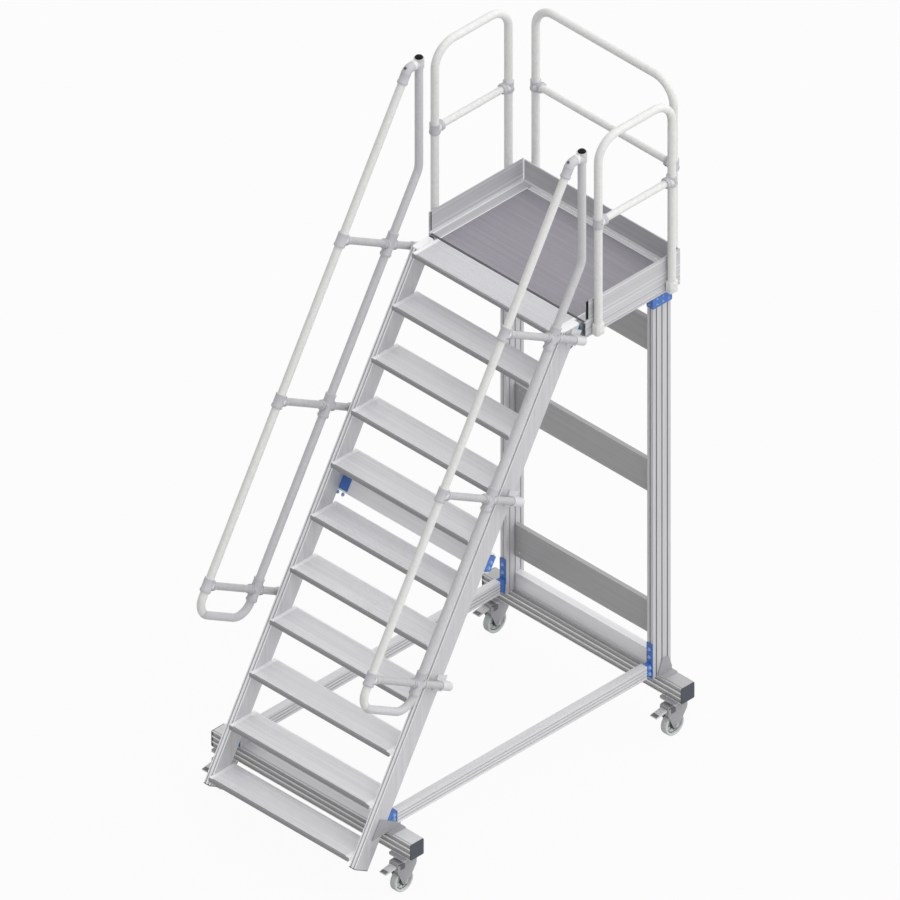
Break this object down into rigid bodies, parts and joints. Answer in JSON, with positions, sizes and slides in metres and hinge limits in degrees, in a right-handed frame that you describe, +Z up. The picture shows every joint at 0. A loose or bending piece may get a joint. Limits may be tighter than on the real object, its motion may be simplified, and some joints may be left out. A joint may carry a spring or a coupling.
{
  "type": "mobile platform stairs",
  "caption": "Rolling aluminium stairs with a railed work platform, looped handrails and a two-beam base on braked swivel casters.",
  "frame": {"origin": "On the floor, under the middle of the outline", "axes": "X to the climber's right, Y the way a climber walks, Z up"},
  "size_m": [1.358, 2.2521, 3.7109],
  "materials": {
    "black_plastic": "moulded black",
    "blue_plate": "blue powder coat",
    "cap": "moulded dark grey",
    "dark_panel": "grey powder coat",
    "deck": "ribbed planks, dull grey",
    "fitting": "cast, pale",
    "fork": "zinc plated",
    "grey_angle": "grey, matt",
    "head_cap": "bright, rounded",
    "profile": "extruded, satin",
    "toe_board": "satin",
    "tread": "fine ribs, dark nose",
    "tube": "bright satin tube",
    "tyre": "grey non-marking rubber",
    "wheel_body": "moulded dark"
  },
  "bodies": {
    "frame": {"beam_angles": "grey_angle", "beam_end_caps": "cap", "caster_plates": "fork", "cross_bar": "profile", "front_beam": "profile", "guard_hoop_back": "tube", "guard_hoop_left": "tube", "guard_hoop_right": "tube", "guard_knee_bars": "tube", "handrail_left": "tube", "handrail_right": "tube", "handrail_struts": "tube", "platform_deck": "deck", "platform_rail_back": "profile", "platform_rail_front": "profile", "platform_rail_left": "profile", "platform_rail_right": "profile", "post_plates": "blue_plate", "rail_plugs": "black_plastic", "rear_beam": "profile", "rear_panels": "dark_panel", "rear_post_left": "profile", "rear_post_right": "profile", "rear_sill": "profile", "side_rail_left": "profile", "side_rail_right": "profile", "stringer_foot_caps": "cap", "stringer_head_caps": "head_cap", "stringer_left": "profile", "stringer_plates": "blue_plate", "stringer_right": "profile", "strut_feet": "fitting", "toe_board_back": "dark_panel", "toe_board_left": "toe_board", "toe_board_right": "toe_board", "tread_01": "tread", "tread_02": "tread", "tread_03": "tread", "tread_04": "tread", "tread_05": "tread", "tread_06": "tread", "tread_07": "tread", "tread_08": "tread", "tread_09": "tread", "tread_10": "tread", "tread_11": "tread"},
    "swivel_front_left": {"caster_fork_front_left": "fork"},
    "wheel_front_left": {"caster_hub_front_left": "wheel_body", "caster_tyre_front_left": "tyre"},
    "swivel_front_right": {"caster_fork_front_right": "fork"},
    "wheel_front_right": {"caster_hub_front_right": "wheel_body", "caster_tyre_front_right": "tyre"},
    "swivel_rear_left": {"caster_fork_rear_left": "fork"},
    "wheel_rear_left": {"caster_hub_rear_left": "wheel_body", "caster_tyre_rear_left": "tyre"},
    "swivel_rear_right": {"caster_fork_rear_right": "fork"},
    "wheel_rear_right": {"caster_hub_rear_right": "wheel_body", "caster_tyre_rear_right": "tyre"}
  },
  "joints": [
    {"name": "steer_front_left", "type": "hinge", "parent": "frame", "child": "swivel_front_left", "pos_m": [-0.605, -0.85643, 0.19], "axis": [0, 0, 1], "continuous": true},
    {"name": "roll_front_left", "type": "hinge", "parent": "swivel_front_left", "child": "wheel_front_left", "pos_m": [-0.605, -0.88843, 0.0625], "axis": [1, 0, 0], "continuous": true},
    {"name": "steer_front_right", "type": "hinge", "parent": "frame", "child": "swivel_front_right", "pos_m": [0.605, -0.85643, 0.19], "axis": [0, 0, 1], "continuous": true},
    {"name": "roll_front_right", "type": "hinge", "parent": "swivel_front_right", "child": "wheel_front_right", "pos_m": [0.605, -0.88843, 0.0625], "axis": [1, 0, 0], "continuous": true},
    {"name": "steer_rear_left", "type": "hinge", "parent": "frame", "child": "swivel_rear_left", "pos_m": [-0.605, 0.98757, 0.19], "axis": [0, 0, 1], "continuous": true},
    {"name": "roll_rear_left", "type": "hinge", "parent": "swivel_rear_left", "child": "wheel_rear_left", "pos_m": [-0.605, 0.95557, 0.0625], "axis": [1, 0, 0], "continuous": true},
    {"name": "steer_rear_right", "type": "hinge", "parent": "frame", "child": "swivel_rear_right", "pos_m": [0.605, 0.98757, 0.19], "axis": [0, 0, 1], "continuous": true},
    {"name": "roll_rear_right", "type": "hinge", "parent": "swivel_rear_right", "child": "wheel_rear_right", "pos_m": [0.605, 0.95557, 0.0625], "axis": [1, 0, 0], "continuous": true}
  ]
}
